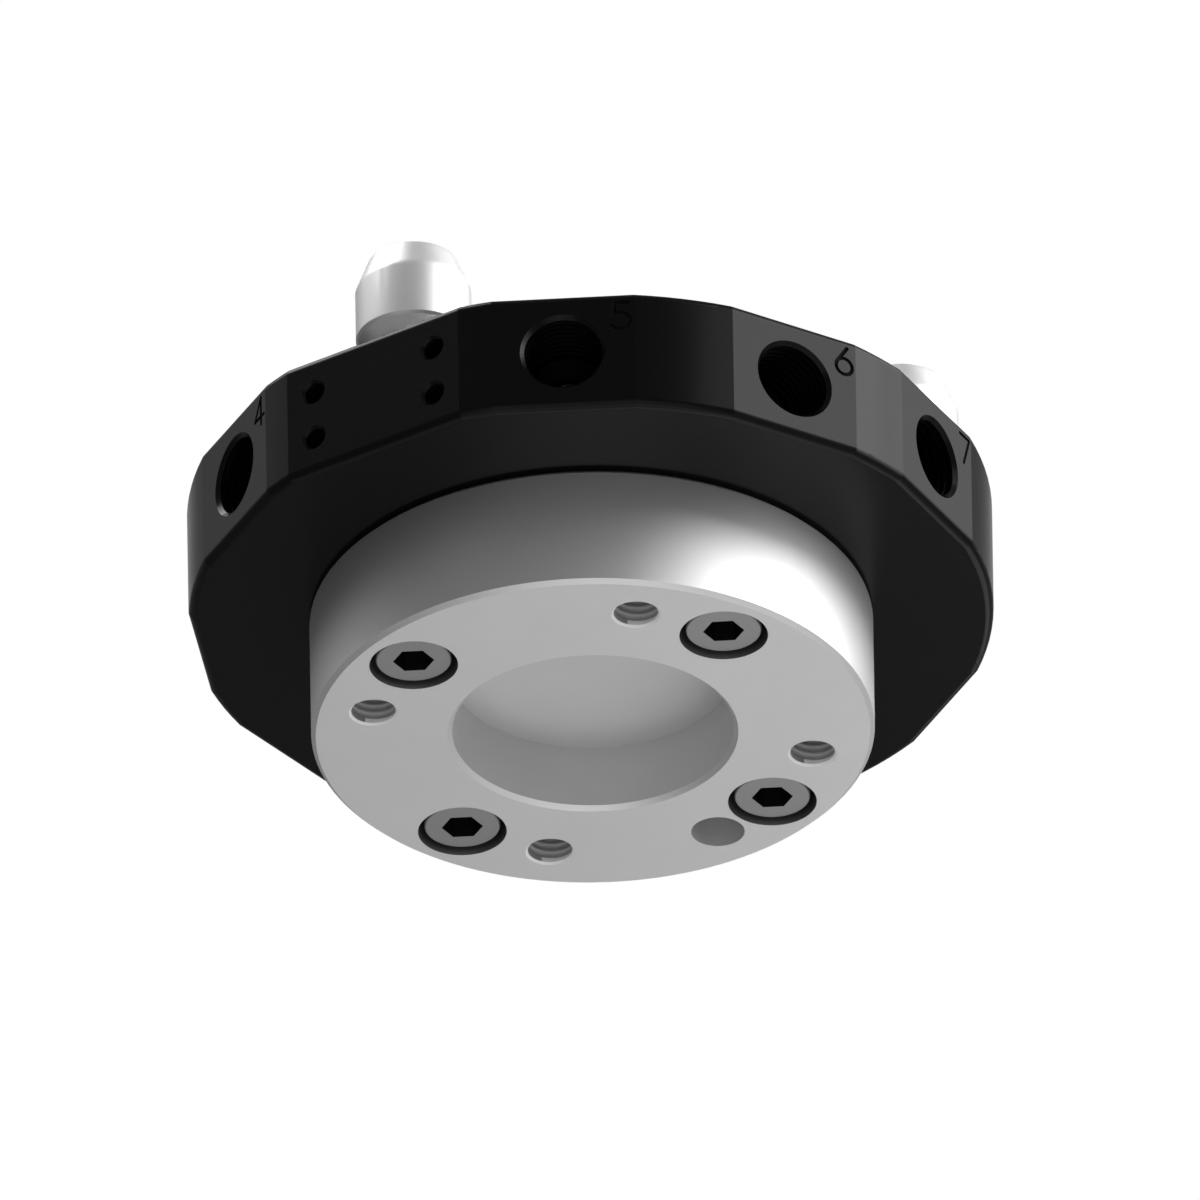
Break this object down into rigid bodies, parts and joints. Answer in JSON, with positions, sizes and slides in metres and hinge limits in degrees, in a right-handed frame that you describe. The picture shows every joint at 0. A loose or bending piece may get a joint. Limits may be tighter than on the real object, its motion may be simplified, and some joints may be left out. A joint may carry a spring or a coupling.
{
  "type": "robotic tool changer, tool side",
  "caption": "Tool half of a robotic tool changer: round plate with air ports in its rim, mushroom-headed locking studs and an adapter flange that a gripper or tool bolts to.",
  "frame": {"origin": "centre of the flange's free face, which the robot tool bolts to", "axes": "+Z along the axis towards the locking studs, -Y normal to the flat for the electrical module, +X to the right when that flat is in front and the studs are up"},
  "size_m": [0.0896, 0.0885, 0.044],
  "materials": {
    "black_anodised": "fine matt black anodising",
    "turned_aluminium": "fine turned, clear anodised",
    "hardened_steel": "ground and polished",
    "screw_steel": "dark oxide",
    "pin_steel": "ground",
    "seal_rubber": "matt black"
  },
  "bodies": {
    "root": {"tool_plate": "black_anodised", "adapter_flange": "turned_aluminium", "flange_screw_1": "screw_steel", "flange_screw_2": "screw_steel", "flange_screw_3": "screw_steel", "flange_screw_4": "screw_steel", "locating_pin_1": "pin_steel", "locating_pin_2": "pin_steel", "locking_stud_1": "hardened_steel", "locking_stud_2": "hardened_steel", "locking_stud_3": "hardened_steel", "air_seal_1": "seal_rubber", "air_seal_2": "seal_rubber", "air_seal_3": "seal_rubber", "air_seal_4": "seal_rubber", "air_seal_5": "seal_rubber", "air_seal_6": "seal_rubber", "air_seal_7": "seal_rubber", "air_seal_8": "seal_rubber"}
  },
  "joints": []
}
